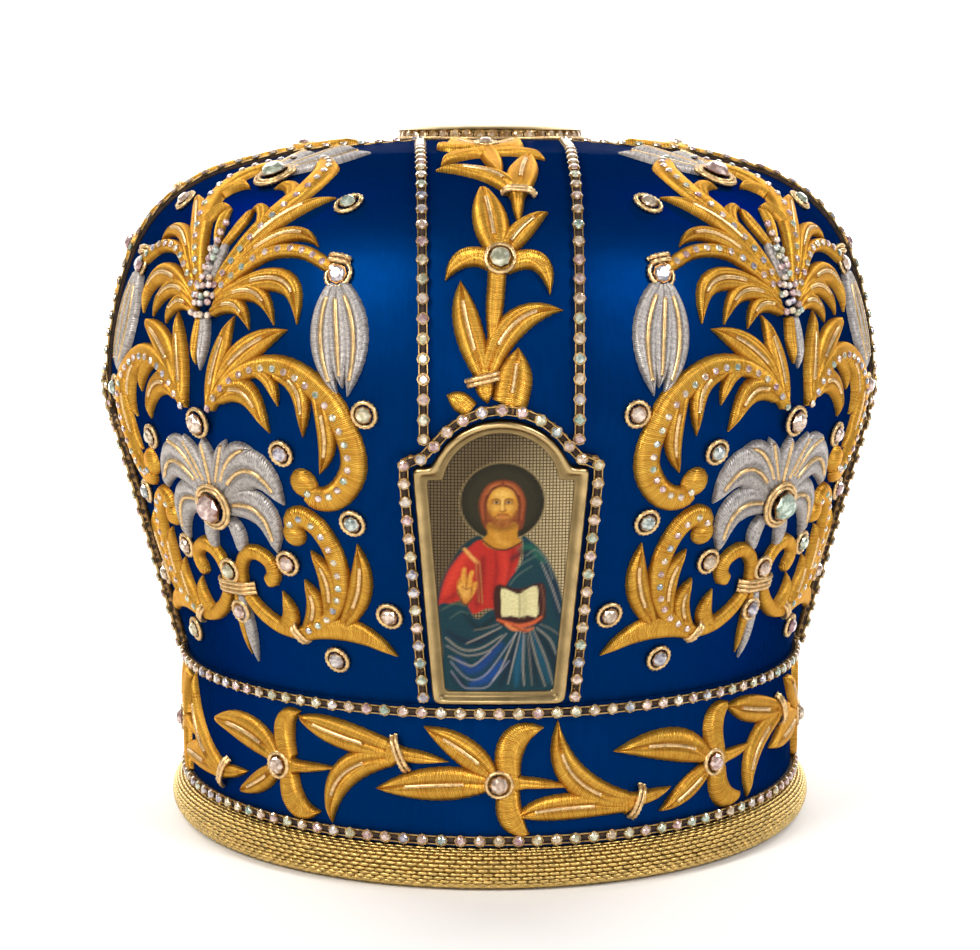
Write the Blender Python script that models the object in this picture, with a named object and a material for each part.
"""Bishop mitre: satin crown on a band, relief embroidery, cup chains and four framed icons.

Metres, +Z up, front towards -Y, resting on z = 0. All named sizes are millimetres and are
turned to metres by MM. Azimuth 0 is the front and grows towards +X.
"""
import math

import bmesh
import bpy
from mathutils import Vector

MM = 0.001
TURN = 2.0 * math.pi
QUARTER = 0.25 * TURN
GAP = 0.3                     # clearance between neighbouring pieces
SEGMENTS = 28                 # sides of the turned pieces
SHARP_ANGLE = 32.0            # degrees; edges steeper than this stay sharp
NORMAL_REACH = 3.0            # half the stretch over which the fabric's slope is read

# Turned pieces
BAND_RADIUS = 95.0            # fabric surface of the head band
BAND_WALL = 2.5
BAND_JOIN = 50.0              # height of the upper band chain, where arc length v is 0
CROWN_FOOT = 52.0
CROWN_WALL = 2.6
CROWN_SECTIONS = (
    # height, radius of the fabric surface
    (52.0, 94.8),
    (134.0, 116.9),
    (147.0, 115.9),
    (163.0, 112.6),
    (175.0, 108.4),
    (183.0, 103.6),
    (189.5, 97.4),
    (196.3, 86.5),
    (202.6, 64.0),
    (206.6, 34.0),
    (207.2, 0.0),
)
CROWN_LINING = (
    # height, radius of the inner surface
    (52.0, 94.8 - CROWN_WALL),
    (134.0, 116.9 - CROWN_WALL),
    (148.0, 112.4),
    (166.0, 108.6),
    (180.0, 102.0),
    (189.3, 93.2),
    (197.0, 75.0),
    (202.2, 50.0),
    (204.5, 0.0),
)
TRIM_SECTION = (
    # radius, height of the mesh roll round the lower edge
    (92.5, 0.0),
    (96.6, 0.0),
    (101.0, 4.6),
    (99.0, 11.0),
    (95.3, 11.6),
    (95.3, 1.5),
    (92.5, 1.5),
)

# Cup chains, drawn as tubes
CHAIN_RADIUS = 1.8
CHAIN_LIFT = GAP + CHAIN_RADIUS
CHAIN_PLAY = 0.1              # extra lift where the fabric bulges between a chain's points
CHAIN_REACH = CHAIN_RADIUS + GAP + 0.5    # from a frame's edge to the chain round it
CHAIN_START = 1.8             # height of that chain's ends above the frame's foot
CHAIN_CUT = 1.6               # its corner at the shoulder is cut by this much
CHAIN_TURN = 1.3              # its side turns inwards this far above the shoulder
CHAIN_RISE = 0.7              # and its cut end stands this much higher than its reach
RUN_POINTS = (
    # u from the column's middle, v up the fabric, lift; straight stretches ride the bend
    (21.3, 82.9, 2.6),
    (21.1, 95.0, 2.8),
    (21.1, 108.0, 2.6),
    (21.1, 123.0, 2.8),
    (21.1, 137.0, 3.4),
    (21.1, 150.0, 3.4),
    (21.1, 165.0, 3.1),
    (21.1, 189.0, 2.9),
    (21.1, 214.8, 2.4),
)
LOWER_CHAIN_HEIGHT = 13.8
TOP_CHAIN_RADIUS = 27.6
TOP_CHAIN_HEIGHT = 209.0

# Icon frames: x across, s up the frame, d out of its front plane
FRAME_FOOT_V = 3.9            # arc length above BAND_JOIN where the frame starts
FRAME_FRONT = 2.5             # front plane above the fabric at the column's middle
FRAME_HALF_FOOT = 18.2
FRAME_HALF_SHOULDER = 23.5
FRAME_SHOULDER = 69.4
FRAME_HALF_ARCH = 18.0
FRAME_SPRING = 69.9
FRAME_HEIGHT = 82.6
FRAME_EDGE = 1.0
FRAME_RIM = 1.7               # flat top of the rim, which then slopes down to the step
FRAME_STEP = 4.4
RECESS = 1.6
PLATE_THICKNESS = 0.7
FRAME_BACK = 4.0              # how far its back is buried before it is cut to the fabric
ARCH_STEPS = 6
ARCH_CHAIN_ANGLES = (45, 15)  # degrees from upright of the chain's points over the arch
ENVELOPE_SPREAD = 14.0        # the cone that cuts the frames runs past the crown's slope

# Medallion on top
MEDAL_RADIUS = 25.3
MEDAL_TOP = 211.3
MEDAL_FOOT = 207.5
MEDAL_RIM = 22.4
MEDAL_EDGE = 0.8              # chamfer of the rim's outer edge
MEDAL_FLOOR = 209.6           # edge of the domed disc
MEDAL_DISC = 0.6              # thickness of the disc there
MEDAL_CROWN = 0.4             # the disc's middle stays this far under the rim
MEDAL_SEGMENTS = 16           # sides of the medallion and of the chain round it

# Relief embroidery: heights above the fabric
RELIEF_FOOT = 0.9
RELIEF_TOP = 2.4
STONE_TOP = 3.8
SHOULDER_V = 104.0            # above this the fabric bends inwards
LONGEST_EDGE = 18.0           # of an outline on the upright fabric
LONGEST_SHOULDER_EDGE = 15.0
SHOULDER_RIDE = 0.9           # relief bridges the bend there, so its foot rides higher
DISSOLVE = 24.0               # corners flatter than this, in degrees, are left out of outlines
LONG_LEAF = 31.0              # leaves longer than this take two pairs of side points
SHORT_STATIONS = ((0.52, 0.98),)                # (share of the length, share of the width)
LONG_STATIONS = ((0.34, 0.88), (0.70, 0.84))
STONE_TABLE = 0.6             # a cut stone's flat top, as a share of its width

COLUMNS = (("front", 0), ("right", 1), ("back", 2), ("left", 3))

# Leaves: base, bend and tip of the middle line, greatest width, width at the base (mm).
# Panels: u from the panel's middle, v up the fabric from the upper band chain. Each row
# is mirrored to the other half.
FLOWER_LEAVES = (
    # bu,   bv,   cu,   cv,   tu,   tv,  width, foot
    (2.5, 62.0, 15.0, 78.0, 25.8, 58.5, 12.0, 6.0),
    (2.5, 57.0, 21.5, 62.0, 19.0, 45.0, 9.0, 6.0),
    (35.0, 26.0, 43.5, 35.0, 47.6, 50.5, 6.5, 3.0),
    (23.0, 21.5, 37.0, 28.5, 49.0, 17.5, 6.5, 4.0),
    (5.5, 86.0, 6.5, 100.0, 13.5, 119.0, 6.5, 2.5),
    (9.0, 93.0, 16.0, 104.5, 30.5, 108.5, 8.0, 3.0),
    (7.0, 88.0, 20.0, 98.0, 25.5, 81.5, 7.0, 3.0),
)
PALMETTE_LEAVES = (
    # bu,   bv,   cu,   cv,   tu,   tv,  width, foot
    (0.5, 116.0, 29.0, 132.0, 31.5, 111.5, 8.0, 6.0),
    (7.0, 124.0, 15.0, 140.0, 30.0, 145.5, 7.0, 4.0),
    (0.0, 163.0, 9.0, 168.0, 12.5, 184.0, 8.0, 5.0),
    (43.5, 122.5, 38.0, 106.0, 48.0, 92.5, 7.5, 4.0),
    (43.5, 122.5, 57.0, 108.0, 52.5, 92.5, 7.5, 4.0),
)
MIDDLE_LEAVES = (
    # on the panel's middle line, not mirrored
    (0.0, 61.0, 0.0, 72.0, 0.0, 77.5, 7.0, 4.0),
    (0.0, 32.0, 0.0, 22.0, 0.0, 9.5, 6.5, 3.5),
    (0.0, 120.0, 0.0, 128.0, 0.0, 135.0, 6.0, 5.0),
    (0.0, 122.0, 0.0, 110.0, 0.0, 97.0, 6.5, 7.0),
    (0.0, 162.0, 0.0, 175.0, 0.0, 190.0, 9.0, 7.0),
)

# Stems: a middle line in half a panel with one width
FLOWER_STEMS = (
    # width, (u, v) along the middle
    (5.8, ((2.0, 82.5), (14.0, 96.0), (30.0, 99.0), (46.5, 89.0), (49.0, 69.5), (36.5, 60.8))),
    (4.8, ((-1.0, 31.5), (10.0, 24.5), (22.0, 21.0), (34.0, 27.0), (39.3, 44.0), (28.0, 58.6))),
    (4.2, ((3.0, 31.0), (3.6, 42.0), (12.5, 45.2), (15.8, 37.5))),
)
PALMETTE_STEMS = (
    (3.6, ((3.0, 117.0), (19.0, 130.0), (36.0, 130.0), (44.0, 121.0))),
    (8.4, ((3.0, 119.0), (12.0, 133.0), (16.5, 149.0), (10.5, 161.0), (0.0, 165.0))),
)
# Blobs: round ends, knots and stones of half a panel
FLOWER_KNOBS = (
    # u,    v,    radius, top height, sides
    (33.0, 64.0, 4.4, RELIEF_TOP, 5),
    (26.2, 54.0, 3.9, RELIEF_TOP, 5),
)
MIDDLE_KNOBS = (
    (0.0, 58.0, 5.2, STONE_TOP, 8),
    (0.0, 82.3, 4.4, RELIEF_TOP, 6),
)
# Stalk of the flower, the wrap across the curls and the neck of the bud
MIDDLE_STEMS = (
    (5.0, ((0.0, 54.0), (0.0, 36.0))),
    (4.4, ((-7.0, 33.2), (7.0, 33.2))),
    (4.0, ((0.0, 76.0), (0.0, 83.0))),
)

# Sprays of a column: u across from its middle, v up the fabric
COLUMN_LEAVES = (
    # bu,   bv,   cu,   cv,   tu,   tv,  width, foot
    (0.8, 91.6, 3.0, 97.0, 4.6, 104.5, 9.0, 8.0),
    (-4.6, 99.5, -4.8, 95.0, -4.0, 91.6, 5.0, 4.0),
    (-4.6, 97.5, -9.0, 112.0, -11.0, 122.5, 7.5, 4.0),
    (-4.0, 97.5, 1.0, 113.0, 15.6, 115.2, 7.0, 4.0),
    (-0.6, 128.0, -1.6, 118.0, -3.7, 102.0, 5.6, 5.0),
    (0.0, 126.0, -9.0, 133.0, -15.0, 123.0, 5.2, 4.4),
    (0.0, 126.0, 11.5, 131.5, 12.5, 119.5, 5.2, 4.4),
    (-1.0, 129.0, -2.0, 142.0, -5.2, 154.0, 9.2, 3.0),
    (0.8, 129.5, 4.0, 138.0, 12.4, 143.0, 6.0, 2.5),
    (4.8, 152.0, 4.9, 146.0, 2.6, 134.5, 4.8, 4.2),
    (4.4, 150.5, -1.0, 165.5, -16.6, 165.0, 7.0, 4.0),
    (5.4, 150.5, 5.8, 165.0, 11.5, 178.5, 8.4, 4.0),
    (-2.8, 190.0, -1.6, 180.0, 0.6, 163.0, 6.0, 5.0),
    (-1.6, 181.0, 8.0, 186.0, 13.2, 176.5, 5.0, 4.5),
    (-3.0, 188.0, -10.0, 197.0, -11.0, 206.0, 8.0, 5.0),
    (-2.4, 188.0, 3.5, 197.0, 6.6, 206.0, 7.0, 4.0),
)

# Sprays round the band: u, v measured from the flower's stone
SPRAY_STONE_V = -20.0
SPRAY_COUNT = 9
SIDE_SPRAYS = (1, 3, 6, 8)    # numbers of the sprays with the second drawing
BACK_SQUEEZE = 0.78           # the two equal sprays that meet at the back are narrower there
SPRAY_LEAVES_FRONT = (
    # bu,   bv,   cu,   cv,   tu,   tv,  width, foot
    (-1.5, 2.0, -9.0, 9.0, -20.5, 15.5, 7.5, 3.0),
    (-2.0, 0.0, -17.0, 0.4, -34.5, -2.6, 9.4, 4.0),
    (1.5, 3.0, 0.0, 15.5, 10.8, 14.3, 8.0, 5.0),
    (1.0, -3.0, 0.0, -11.0, 6.0, -13.6, 7.0, 5.0),
    (2.0, 0.0, 8.0, 0.0, 23.5, -3.0, 9.0, 8.0),
    (38.0, -7.0, 16.0, -2.0, 16.4, 16.8, 8.0, 4.0),
    (38.0, -8.0, 14.0, -3.0, 6.0, -10.0, 7.4, 4.0),
    (37.0, -7.5, 44.0, -7.0, 49.5, -5.4, 4.4, 5.0),
)
SPRAY_LEAVES_SIDE = (
    (-1.5, 1.5, -12.0, 9.0, -33.0, 7.6, 9.6, 4.0),
    (-1.5, -1.0, -8.0, -6.0, -18.5, -11.2, 6.2, 3.0),
    (2.0, 3.0, -2.5, 12.5, 6.0, 15.8, 7.6, 5.0),
    (3.0, -3.0, 1.5, -12.5, 12.4, -12.4, 8.0, 5.0),
    (2.0, 0.0, 8.0, 1.0, 24.0, 5.6, 9.0, 8.0),
    (37.0, 8.0, 18.0, 8.0, 7.0, 14.2, 8.0, 4.0),
    (37.0, 6.5, 17.5, 3.5, 18.0, -13.8, 8.0, 4.0),
    (37.0, 7.4, 44.0, 7.0, 50.4, 6.0, 4.6, 5.0),
)

# finish: base colour (linear), roughness, metallic
FINISHES = {
    "blue_satin": ((0.002, 0.030, 0.170), 0.42, 0.0),
    "gold_embroidery": ((0.560, 0.270, 0.045), 0.45, 0.3),
    "mesh_trim": ((0.330, 0.240, 0.080), 0.45, 0.6),
    "cup_chain": ((0.620, 0.480, 0.400), 0.20, 0.4),
    "antique_brass": ((0.400, 0.290, 0.120), 0.35, 1.0),
    "icon_print": ((0.120, 0.100, 0.070), 0.40, 0.1),
    "polished_brass": ((0.480, 0.330, 0.120), 0.30, 1.0),
}


def clear_scene():
    for obj in list(bpy.data.objects):
        bpy.data.objects.remove(obj, do_unlink=True)


def finish(name):
    if name in bpy.data.materials:
        return bpy.data.materials[name]
    colour, roughness, metallic = FINISHES[name]
    material = bpy.data.materials.new(name)
    material.use_nodes = True
    shader = material.node_tree.nodes["Principled BSDF"]
    shader.inputs["Base Color"].default_value = (*colour, 1.0)
    shader.inputs["Roughness"].default_value = roughness
    shader.inputs["Metallic"].default_value = metallic
    material.diffuse_color = (*colour, 1.0)
    return material


def add_object(name, mesh, finish_name, smooth=True):
    mesh.name = name
    mesh.materials.clear()
    mesh.materials.append(finish(finish_name))
    if smooth:
        mesh.shade_smooth()
        mesh.set_sharp_from_angle(angle=math.radians(SHARP_ANGLE))
    obj = bpy.data.objects.new(name, mesh)
    bpy.context.scene.collection.objects.link(obj)
    return obj


def mesh_of(bm):
    """Mesh of one closed body with its faces outwards; the bmesh is freed."""
    mesh = bpy.data.meshes.new("piece")
    bmesh.ops.recalc_face_normals(bm, faces=bm.faces)
    if bm.calc_volume(signed=True) < 0.0:
        bmesh.ops.reverse_faces(bm, faces=bm.faces)
    bm.to_mesh(mesh)
    bm.free()
    return mesh


# The fabric surface

def fabric_rows():
    """(v, radius, height) of the fabric, with v the arc length above BAND_JOIN."""
    rows = [(-BAND_JOIN, BAND_RADIUS, 0.0), (0.0, BAND_RADIUS, BAND_JOIN)]
    for height, radius in CROWN_SECTIONS:
        v, last_radius, last_height = rows[-1]
        v += math.hypot(radius - last_radius, height - last_height)
        rows.append((v, radius, height))
    return rows


FABRIC = fabric_rows()


def fabric_at(v):
    for low, high in zip(FABRIC, FABRIC[1:]):
        if v <= high[0] or high is FABRIC[-1]:
            t = (v - low[0]) / (high[0] - low[0])
            return low[1] + t * (high[1] - low[1]), low[2] + t * (high[2] - low[2])
    return FABRIC[-1][1:]


def fabric_normal(v):
    r0, z0 = fabric_at(v - NORMAL_REACH)
    r1, z1 = fabric_at(v + NORMAL_REACH)
    length = math.hypot(r1 - r0, z1 - z0)
    return (z1 - z0) / length, -(r1 - r0) / length


def round_place(azimuth):
    """Maps u round the hat, v up the fabric and w above it to a point in metres."""
    def place(u, v, w):
        radius, height = fabric_at(v)
        out, up = fabric_normal(v)
        angle = azimuth + u / radius
        reach = radius + w * out
        return Vector((reach * math.sin(angle), -reach * math.cos(angle),
                       height + w * up)) * MM
    return place


def column_place(azimuth):
    """As round_place, with u a straight distance across the column."""
    def place(u, v, w):
        radius, height = fabric_at(v)
        out, up = fabric_normal(v)
        reach = radius + w * out
        depth = math.sqrt(reach * reach - u * u)
        return turned(Vector((u, -depth, height + w * up)) * MM, azimuth)
    return place


def turned(point, azimuth):
    c, s = math.cos(azimuth), math.sin(azimuth)
    return Vector((point.x * c - point.y * s, point.x * s + point.y * c, point.z))


# Turned pieces

def revolved(outline, closed, segments=SEGMENTS):
    """Mesh turned about Z from (radius, height) points in millimetres."""
    bm = bmesh.new()
    verts = [bm.verts.new((r * MM, 0.0, z * MM)) for r, z in outline]
    pairs = list(zip(verts, verts[1:])) + ([(verts[-1], verts[0])] if closed else [])
    edges = [bm.edges.new(pair) for pair in pairs]
    bmesh.ops.spin(bm, geom=verts + edges, cent=(0, 0, 0), axis=(0, 0, 1),
                   angle=TURN, steps=segments)
    bmesh.ops.remove_doubles(bm, verts=bm.verts, dist=1e-6)
    return mesh_of(bm)


def crown_shell():
    outer = [(radius, height) for height, radius in CROWN_SECTIONS]
    inner = [(radius, height) for height, radius in reversed(CROWN_LINING)]
    add_object("crown_shell", revolved(inner + outer, False), "blue_satin")


def head_band():
    top = CROWN_FOOT - GAP
    foot = TRIM_SECTION[-1][1] + GAP
    inner = BAND_RADIUS - BAND_WALL
    outline = ((inner, foot), (BAND_RADIUS, foot), (BAND_RADIUS, top), (inner, top))
    add_object("head_band", revolved(outline, True), "blue_satin")


def base_trim():
    add_object("base_trim", revolved(TRIM_SECTION, True), "mesh_trim")


# Cup chains

def tube_curve(name, points, cyclic):
    curve = bpy.data.curves.new(name, "CURVE")
    curve.dimensions = "3D"
    curve.bevel_depth = CHAIN_RADIUS * MM
    curve.bevel_resolution = 2
    curve.use_fill_caps = not cyclic
    spline = curve.splines.new("POLY")
    spline.points.add(len(points) - 1)
    for target, point in zip(spline.points, points):
        target.co = (*point, 1.0)
    spline.use_cyclic_u = cyclic
    obj = bpy.data.objects.new(name, curve)
    bpy.context.scene.collection.objects.link(obj)
    return obj


def ring_chain(name, radius, height, count):
    points = [Vector((radius * math.sin(TURN * k / count), -radius * math.cos(TURN * k / count),
                      height)) * MM for k in range(count)]
    tube_curve(name, points, True).data.materials.append(finish("cup_chain"))


def band_chains():
    radius = BAND_RADIUS + CHAIN_LIFT + CHAIN_PLAY
    ring_chain("band_chain_upper", radius, BAND_JOIN, SEGMENTS)
    ring_chain("band_chain_lower", radius, LOWER_CHAIN_HEIGHT, SEGMENTS)
    ring_chain("top_chain", TOP_CHAIN_RADIUS, TOP_CHAIN_HEIGHT, MEDAL_SEGMENTS)


def surround_route():
    """Cup chain round a frame: (x, s) from lower left, over the arch, to lower right."""
    lean = (FRAME_HALF_SHOULDER - FRAME_HALF_FOOT) / FRAME_SHOULDER
    centre, radius = arch_circle()
    side = [(FRAME_HALF_FOOT + CHAIN_REACH + lean * s, s)
            for s in (CHAIN_START, FRAME_SHOULDER + CHAIN_TURN)]
    side.append((FRAME_HALF_SHOULDER - CHAIN_CUT, FRAME_SPRING + CHAIN_REACH + CHAIN_RISE))
    arc = [((radius + CHAIN_REACH) * math.sin(a), centre + (radius + CHAIN_REACH) * math.cos(a))
           for a in (math.radians(d) for d in ARCH_CHAIN_ANGLES)]
    right = side + arc
    return [(-x, s) for x, s in right] + right[::-1]


def run_route(side):
    """Cup chain from a frame's shoulder up to the medallion: (u, v, lift)."""
    return [(side * u, v, lift) for u, v, lift in RUN_POINTS]


def column_chains(label, azimuth):
    place = column_place(azimuth)
    surround = [(x, FRAME_FOOT_V + s, CHAIN_LIFT + CHAIN_PLAY) for x, s in surround_route()]
    routes = (("icon_chain_" + label, surround),
              ("column_chain_%s_1" % label, run_route(-1)),
              ("column_chain_%s_2" % label, run_route(1)))
    for name, route in routes:
        curve = tube_curve(name, [place(*row) for row in route], False)
        curve.data.materials.append(finish("cup_chain"))


# Boolean helpers

def evaluated_copy(obj):
    bpy.context.view_layer.update()
    graph = bpy.context.evaluated_depsgraph_get()
    return bpy.data.meshes.new_from_object(obj.evaluated_get(graph))


def union_of(meshes):
    """One mesh from overlapping closed meshes."""
    group = bpy.data.collections.new("joined")
    bpy.context.scene.collection.children.link(group)
    objects = []
    for mesh in meshes:
        obj = bpy.data.objects.new("piece", mesh)
        (bpy.context.scene.collection if not objects else group).objects.link(obj)
        objects.append(obj)
    modifier = objects[0].modifiers.new("join", "BOOLEAN")
    modifier.operation = "UNION"
    modifier.solver = "EXACT"
    modifier.operand_type = "COLLECTION"
    modifier.collection = group
    mesh = evaluated_copy(objects[0])
    for obj in objects:
        bpy.data.objects.remove(obj, do_unlink=True)
    bpy.data.collections.remove(group)
    return mesh


def cut_by(mesh, cutter):
    """Mesh with the cutter's volume taken away."""
    body = bpy.data.objects.new("body", mesh)
    tool = bpy.data.objects.new("tool", cutter)
    for obj in (body, tool):
        bpy.context.scene.collection.objects.link(obj)
    tool.hide_render = True
    tool.display_type = "WIRE"
    modifier = body.modifiers.new("cut", "BOOLEAN")
    modifier.operation = "DIFFERENCE"
    modifier.solver = "EXACT"
    modifier.object = tool
    result = evaluated_copy(body)
    bpy.data.objects.remove(body, do_unlink=True)
    bpy.data.objects.remove(tool, do_unlink=True)
    return result


# Icon frames

def arch_circle():
    """(height of the centre, radius) of the arc over a frame."""
    rise = FRAME_HEIGHT - FRAME_SPRING
    radius = (FRAME_HALF_ARCH ** 2 + rise ** 2) / (2.0 * rise)
    return FRAME_HEIGHT - radius, radius


def frame_outline():
    centre, radius = arch_circle()
    half_angle = math.asin(FRAME_HALF_ARCH / radius)
    points = [(-FRAME_HALF_FOOT, 0.0), (FRAME_HALF_FOOT, 0.0),
              (FRAME_HALF_SHOULDER, FRAME_SHOULDER)]
    for k in range(ARCH_STEPS + 1):
        angle = half_angle * (1.0 - 2.0 * k / ARCH_STEPS)
        points.append((radius * math.sin(angle), centre + radius * math.cos(angle)))
    points.append((-FRAME_HALF_SHOULDER, FRAME_SHOULDER))
    return points


def inset(points, distance):
    """Counterclockwise outline moved inwards by a distance, corners mitred."""
    result = []
    count = len(points)
    for k in range(count):
        before, here, after = (Vector(points[(k + j) % count]) for j in (-1, 0, 1))
        first = (here - before).normalized()
        second = (after - here).normalized()
        normals = Vector((-first.y, first.x)), Vector((-second.y, second.x))
        middle = (normals[0] + normals[1]).normalized()
        result.append(tuple(here + middle * (distance / middle.dot(normals[0]))))
    return result


def frame_place(azimuth):
    """Maps x across, s up and d out of a frame's front plane to a point in metres."""
    r0, z0 = fabric_at(FRAME_FOOT_V)
    out, up = fabric_normal(FRAME_FOOT_V + 0.5 * FRAME_HEIGHT)

    def place(x, s, d):
        reach = r0 - s * up + (FRAME_FRONT + d) * out
        height = z0 + s * out + (FRAME_FRONT + d) * up
        return turned(Vector((x, -reach, height)) * MM, azimuth)
    return place


def lofted(rings, place):
    """Closed mesh through rings of (x, s, d) points with flat ends."""
    bm = bmesh.new()
    loops = [[bm.verts.new(place(*point)) for point in ring] for ring in rings]
    for low, high in zip(loops, loops[1:]):
        for k in range(len(low)):
            j = (k + 1) % len(low)
            bm.faces.new((low[k], low[j], high[j], high[k]))
    bm.faces.new(loops[0][::-1])
    bm.faces.new(loops[-1])
    return mesh_of(bm)


def body_envelope():
    """Solid cone of the fabric behind the frames, grown by the gap."""
    low, high = CROWN_SECTIONS[0], CROWN_SECTIONS[1]
    slope = (high[1] - low[1]) / (high[0] - low[0])
    grow = GAP * math.hypot(1.0, slope)
    foot, top = low[0] - ENVELOPE_SPREAD, high[0] + ENVELOPE_SPREAD
    rise = ENVELOPE_SPREAD * slope
    outline = ((0.0, foot), (low[1] - rise + grow, foot), (high[1] + rise + grow, top),
               (0.0, top))
    return revolved(outline, False)


def icon_frame(label, azimuth):
    outline = frame_outline()
    back = FRAME_FRONT + FRAME_BACK
    levels = ((0.0, -back), (0.0, -FRAME_EDGE), (FRAME_EDGE, 0.0), (FRAME_RIM, 0.0),
              (FRAME_STEP, -RECESS))
    rings = [[(x, s, d) for x, s in inset(outline, distance)] for distance, d in levels]
    solid = cut_by(lofted(rings, frame_place(azimuth)), body_envelope())
    add_object("icon_frame_" + label, solid, "antique_brass")


def icon_plate(label, azimuth):
    outline = inset(frame_outline(), FRAME_STEP + GAP)
    floor = -RECESS + GAP
    rings = [[(x, s, d) for x, s in outline] for d in (floor, floor + PLATE_THICKNESS)]
    add_object("icon_plate_" + label, lofted(rings, frame_place(azimuth)), "icon_print", False)


def medallion():
    foot = MEDAL_FLOOR - MEDAL_DISC
    rim = ((0.0, MEDAL_FOOT), (MEDAL_RADIUS, MEDAL_FOOT),
           (MEDAL_RADIUS, MEDAL_TOP - MEDAL_EDGE), (MEDAL_RADIUS - MEDAL_EDGE, MEDAL_TOP),
           (MEDAL_RIM + MEDAL_EDGE, MEDAL_TOP), (MEDAL_RIM, foot - GAP), (0.0, foot - GAP))
    add_object("top_frame", revolved(rim, False, MEDAL_SEGMENTS), "antique_brass")
    disc = ((0.0, foot), (MEDAL_RIM - GAP, foot), (MEDAL_RIM - GAP, MEDAL_FLOOR),
            (0.0, MEDAL_TOP - MEDAL_CROWN))
    add_object("top_plate", revolved(disc, False, MEDAL_SEGMENTS), "polished_brass")


# Relief embroidery

def leaf_outline(row, mirror=1.0):
    """Outline of a leaf whose middle line is a quadratic curve from base to tip."""
    bu, bv, cu, cv, tu, tv, width, foot = row
    base, bend, tip = (Vector((mirror * u, v)) for u, v in ((bu, bv), (cu, cv), (tu, tv)))
    length = (bend - base).length + (tip - bend).length
    stations = LONG_STATIONS if length > LONG_LEAF else SHORT_STATIONS
    left, right = [], []
    for t, share in ((0.0, foot / width),) + stations:
        point = base * (1 - t) ** 2 + bend * 2 * t * (1 - t) + tip * t * t
        along = ((bend - base) * (1 - t) + (tip - bend) * t).normalized()
        across = Vector((-along.y, along.x)) * (0.5 * width * share)
        left.append(point + across)
        right.append(point - across)
    return right + [tip] + left[::-1]


def stem_outline(width, route, mirror=1.0):
    points = [Vector((mirror * u, v)) for u, v in route]
    left, right = [], []
    for k, point in enumerate(points):
        along = (points[min(k + 1, len(points) - 1)] - points[max(k - 1, 0)]).normalized()
        across = Vector((-along.y, along.x)) * (0.5 * width)
        left.append(point + across)
        right.append(point - across)
    return right + left[::-1]


def knob_outline(u, v, radius, sides):
    return [Vector((u + radius * math.sin(TURN * (k + 0.5) / sides),
                    v - radius * math.cos(TURN * (k + 0.5) / sides))) for k in range(sides)]


def flat_prism(outline, top, table=1.0):
    """Prism from RELIEF_FOOT to top in millimetres; a cut stone's table is smaller."""
    centre = sum(outline, Vector((0.0, 0.0))) / len(outline)
    rings = [(outline, RELIEF_FOOT), ([centre + (p - centre) * table for p in outline], top)]
    return lofted([[(p.x, p.y, w) for p in ring] for ring, w in rings],
                  lambda x, y, w: Vector((x, y, w)))


def relief(name, prisms, place):
    """Joins flat prisms into one piece and lays it on the fabric."""
    mesh = union_of(prisms)
    bm = bmesh.new()
    bm.from_mesh(mesh)
    bmesh.ops.dissolve_limit(bm, angle_limit=math.radians(DISSOLVE), verts=bm.verts,
                             edges=bm.edges)
    split_long_edges(bm)
    bmesh.ops.triangulate(bm, faces=bm.faces, quad_method="BEAUTY", ngon_method="BEAUTY")
    for vert in bm.verts:
        u, v, w = vert.co
        vert.co = place(u, v, w + (SHOULDER_RIDE if v > SHOULDER_V else 0.0))
    add_object(name, mesh_of(bm), "gold_embroidery")


def split_long_edges(bm):
    """Halves the outline's long edges so that they follow the fabric's bend."""
    def too_long(edge):
        shoulder = 0.5 * (edge.verts[0].co.y + edge.verts[1].co.y) > SHOULDER_V
        return edge.calc_length() > (LONGEST_SHOULDER_EDGE if shoulder else LONGEST_EDGE)
    for _ in range(2):
        bmesh.ops.subdivide_edges(bm, edges=[e for e in bm.edges if too_long(e)], cuts=1)


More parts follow.
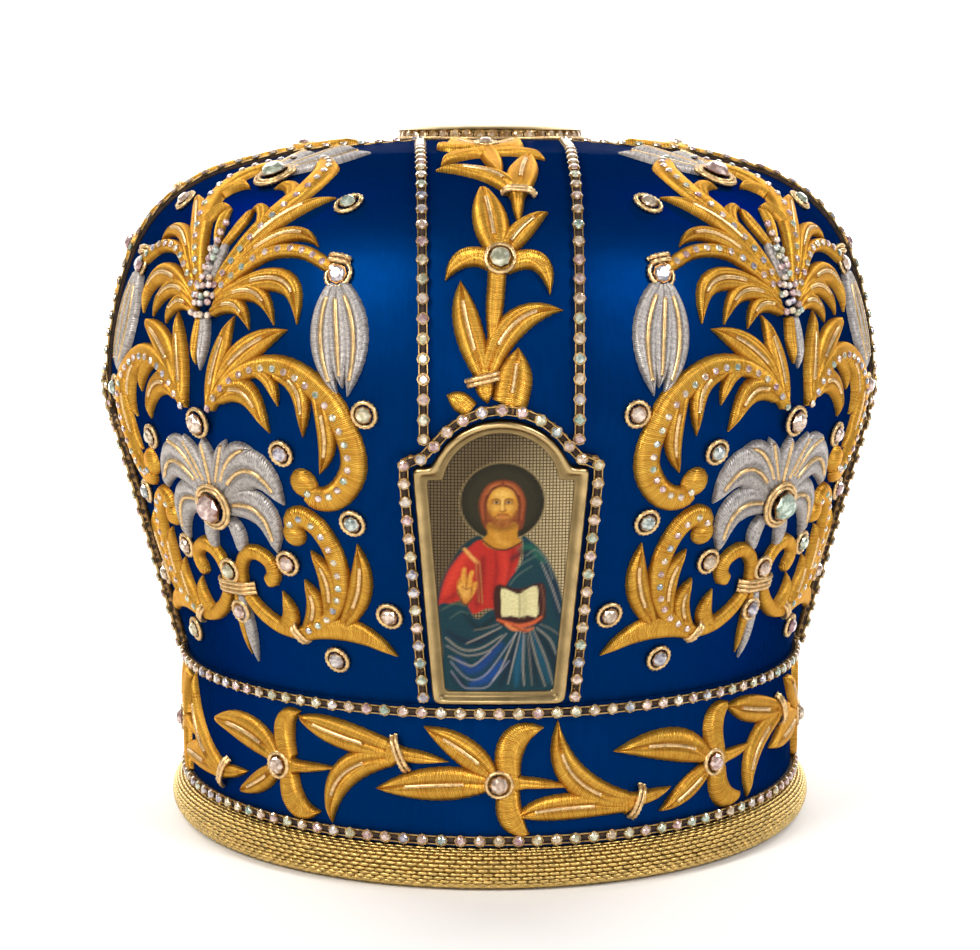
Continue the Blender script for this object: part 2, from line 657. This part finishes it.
def half_prisms(leaves, stems, knobs):
    """Prisms of half a panel and of its mirror image."""
    prisms = []
    for mirror in (1.0, -1.0):
        prisms += [flat_prism(leaf_outline(row, mirror), RELIEF_TOP) for row in leaves]
        prisms += [flat_prism(stem_outline(width, route, mirror), RELIEF_TOP)
                   for width, route in stems]
        prisms += [knob_prism(mirror * u, v, radius, top, sides)
                   for u, v, radius, top, sides in knobs]
    return prisms


def knob_prism(u, v, radius, top, sides):
    table = STONE_TABLE if top > RELIEF_TOP else 1.0
    return flat_prism(knob_outline(u, v, radius, sides), top, table)


def panel(number, azimuth):
    prisms = half_prisms(FLOWER_LEAVES + PALMETTE_LEAVES, FLOWER_STEMS + PALMETTE_STEMS,
                         FLOWER_KNOBS)
    prisms += [flat_prism(leaf_outline(row), RELIEF_TOP) for row in MIDDLE_LEAVES]
    prisms += [flat_prism(stem_outline(width, route), RELIEF_TOP)
               for width, route in MIDDLE_STEMS]
    prisms += [knob_prism(*row) for row in MIDDLE_KNOBS]
    relief("panel_embroidery_%d" % number, prisms, round_place(azimuth))


def column_spray(label, azimuth):
    prisms = [flat_prism(leaf_outline(row), RELIEF_TOP) for row in COLUMN_LEAVES]
    relief("column_spray_" + label, prisms, column_place(azimuth))


def band_spray(number):
    """Sprays alternate between two drawings, starting with the one at the front."""
    round_hat = round_place(TURN * number / SPRAY_COUNT)
    squeezed_side = {SPRAY_COUNT // 2: 1.0, SPRAY_COUNT // 2 + 1: -1.0}.get(number, 0.0)

    def place(u, v, w):
        squeeze = BACK_SQUEEZE if u * squeezed_side > 0.0 else 1.0
        return round_hat(u * squeeze, v + SPRAY_STONE_V, w)
    leaves = SPRAY_LEAVES_SIDE if number in SIDE_SPRAYS else SPRAY_LEAVES_FRONT
    prisms = [flat_prism(leaf_outline(row), RELIEF_TOP) for row in leaves]
    relief("band_spray_%d" % (number + 1), prisms, place)


def main():
    clear_scene()
    crown_shell()
    head_band()
    base_trim()
    band_chains()
    medallion()
    for label, quarter in COLUMNS:
        azimuth = quarter * QUARTER
        icon_frame(label, azimuth)
        icon_plate(label, azimuth)
        column_chains(label, azimuth)
        column_spray(label, azimuth)
        panel(quarter + 1, azimuth + QUARTER / 2.0)
    for number in range(SPRAY_COUNT):
        band_spray(number)


main()
